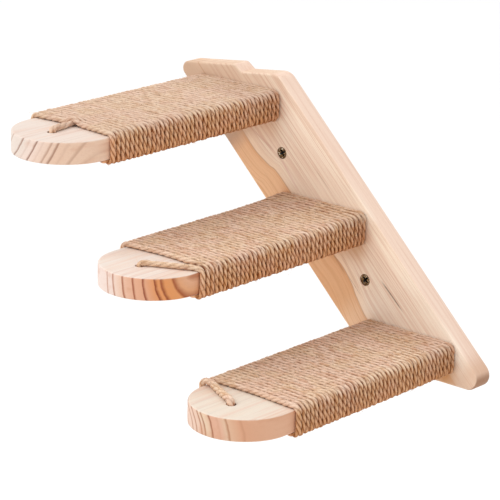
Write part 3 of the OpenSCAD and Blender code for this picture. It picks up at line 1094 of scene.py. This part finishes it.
# How far each screw's recess is turned, in degrees, in the order of their names
WALL_TURNS = (48, 34)
TREAD_TURNS = (20, 75, 40, 10, 60, 85)
# The cross recess at its mouth and its floor: depth, reach of the arms, and half their width
CROSS = ((-1.0, 4.15, 1.02), (3.1, 1.0, 0.45))
SCREW_SHARP = math.radians(32)


def screw_rings(thread_d, neck_d, head_d, bite, pitch):
    """Radius of each ring's corners and its depth below the head's flat, from the head to the point."""
    head_r, neck_r, neck_end = head_d / 2, neck_d / 2, BACK_T - HEAD_SINK
    cone = head_r - neck_r
    plain = [(head_r - inside, z) for inside, z in HEAD_RIM]
    plain += [(neck_r + 0.35, cone - 0.2), (neck_r, cone + 0.5), (neck_r, neck_end - 0.6)]
    angle = np.arange(SCREW_SIDES) / SCREW_SIDES
    rings = [(np.full(SCREW_SIDES, r), z) for r, z in plain]
    end = neck_end + bite
    for z in np.arange(neck_end, end, pitch / THREAD_RINGS):
        taper = min(1, (end - z) / POINT_LEN)
        begin = min(1, (z - neck_end) / pitch)
        core = THREAD_CORE * thread_d / 2 * taper + 0.08
        crest = thread_d / 2 * min(1, taper * 1.25)
        phase = (z / pitch - angle) % 1
        tooth = np.clip(1 - np.abs(phase - 0.5) / TOOTH_HALF, 0, 1)
        start = neck_r + (core - neck_r) * begin
        rings.append((start + (crest - start) * tooth * begin, z))
    rings.append((np.full(SCREW_SIDES, POINT_R), end))
    return rings


def screw_solid(place, front, way, size):
    """A threaded screw with its head's flat at y = front; way is -1 where the head faces the wall."""
    bm = bmesh.new()
    angle = 2 * math.pi * np.arange(SCREW_SIDES) / SCREW_SIDES
    rows = []
    for radius, depth in screw_rings(*size):
        y = front + way * depth
        rows.append([
            bm.verts.new(metres((place[0] + r * math.cos(a), y, place[1] + r * math.sin(a))))
            for r, a in zip(radius, angle)
        ])
    bridge(bm, rows)
    bm.faces.new(rows[0])
    bm.faces.new(rows[-1])
    bmesh.ops.recalc_face_normals(bm, faces=bm.faces)
    return bm


def cross_cutter(place, front, way, turn):
    """Tapered cross for the recess in a head."""
    bm = bmesh.new()
    rows = []
    for depth, reach, half in CROSS:
        row = []
        for arm in range(4):
            a = math.radians(turn + 90 * arm)
            for out, aside in ((reach, -half), (reach, half), (half, half)):
                x = place[0] + out * math.cos(a) - aside * math.sin(a)
                z = place[1] + out * math.sin(a) + aside * math.cos(a)
                row.append(bm.verts.new(metres((x, front + way * depth, z))))
        rows.append(row)
        bm.faces.new(row)
    bridge(bm, rows)
    bmesh.ops.recalc_face_normals(bm, faces=bm.faces)
    return bm


def build_screw(name, way, size, turn, material):
    low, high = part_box(name)
    place = ((low.x + high.x) / 2 / MM, (low.z + high.z) / 2 / MM)
    front = -(BACK_T - HEAD_SINK) if way > 0 else -HEAD_SINK
    body = add_object(mesh_from(screw_solid(place, front, way, size), name + "_body"))
    cutter = add_object(mesh_from(cross_cutter(place, front, way, turn), name + "_cut"))
    recess = body.modifiers.new("recess", "BOOLEAN")
    recess.operation = "DIFFERENCE"
    recess.solver = "EXACT"
    recess.object = cutter
    result = body.evaluated_get(bpy.context.evaluated_depsgraph_get())
    mesh = bpy.data.meshes.new_from_object(result)
    for obj in (body, cutter):
        bpy.data.objects.remove(obj)
    mesh.name = name + "_threaded"
    mesh.materials.clear()
    deep = [way * (v.co.y / MM - front) for v in mesh.vertices]
    mesh.attributes.new("screw_deep", "FLOAT", "POINT").data.foreach_set("value", deep)
    screw = add_piece(mesh, material)
    mesh.set_sharp_from_angle(angle=SCREW_SHARP)
    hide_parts(name)
    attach(screw, "root")


def build_screws(material):
    kinds = (("wall_screw", 1, WALL_SCREW, WALL_TURNS), ("tread_screw", -1, TREAD_SCREW, TREAD_TURNS))
    for start, way, size, turns in kinds:
        names = sorted(name for name in nodes if name.startswith(start))
        for name, turn in zip(names, turns):
            build_screw(name, way, size, turn, material)


def bronze_material():
    """Dark coating, rubbed bright in places that also stand in for glints, with painted shade in the recess
    and round the head.
    """
    n = Nodes("screw_bronze_coat")
    at = n.scaled(n.position(), 1 / MM)
    worn = n.noise(at, 1.3, 4, 0.6)
    colour = n.ramp(worn, [(0.35, (52, 35, 20)), (0.52, (92, 65, 38)), (0.66, (150, 116, 78))])
    # Rubbed bright spots, partly wear and partly painted glints
    rubbed_glint = n.noise(at, 0.8, 1, 0.5)
    colour = n.tint(colour, (rubbed_glint, 0.60, 0.68, 0.8, (238, 222, 196)))
    # Painted shade: near black in the recess and on the cone that shows in the gap round the head
    deep = n.add("Attribute", output=2, attribute_name="screw_deep")
    recess_shade = n.times(n.between(deep, 0.25, 0.75), n.between(deep, 7, 4))
    colour = n.mix(recess_shade, colour, (16, 11, 7))
    n.set(base_color=colour, roughness=n.between(worn, 0.3, 0.7, 0.42, 0.26))
    n.set(metallic=n.math("SUBTRACT", 0.95, n.times(recess_shade, 0.6)), normal=n.bump(worn, 0.05, 0.4))
    return n.owner


# Studio

# Brightness of the surroundings at the horizon and overhead
SKY_LOW = 0.76
SKY_HIGH = 1.02
# Azimuth, elevation, distance and size in metres, and power
KEY = (-40, 50, 12.0, 9.0, 540)
FLOOR_HALF = 12000
FLOOR_LEVEL = -1500


def add_floor():
    n = Nodes("studio_floor")
    paper = n.noise(n.position(), 40, 2, 0.5)
    n.set(base_color=n.mix(paper, (250, 250, 250), (253, 253, 253)), roughness=0.9, specular_ior_level=0.1)
    mesh = bpy.data.meshes.new("floor")
    corners = [(-1, -1), (1, -1), (1, 1), (-1, 1)]
    corners = [metres((x * FLOOR_HALF, y * FLOOR_HALF, FLOOR_LEVEL)) for x, y in corners]
    mesh.from_pydata(corners, [], [(0, 1, 2, 3)])
    floor = add_piece(mesh, n.owner, smooth=False)


def add_light(name, azimuth, elevation, distance, size, watts):
    data = bpy.data.lights.new(name, "AREA")
    data.shape = "DISK"
    data.size = size
    data.energy = watts
    basis = view_basis(azimuth, elevation)
    aim(add_object(data), basis[2] * distance, basis)


def add_studio():
    n = Nodes("studio", bpy.data.worlds, "Background")
    height = n.split(n.add("TexCoord"))[2]
    n.set(color=(1, 1, 1, 1), strength=n.add("MapRange", {0: height, 3: SKY_LOW, 4: SKY_HIGH}))
    bpy.context.scene.world = n.owner
    bpy.context.scene.view_settings.view_transform = "Standard"
    add_light("key", *KEY)
    add_floor()


add_camera()
add_studio()
dress_treads()
build_backboard(board_pine())
build_ropes()
build_screws(bronze_material())
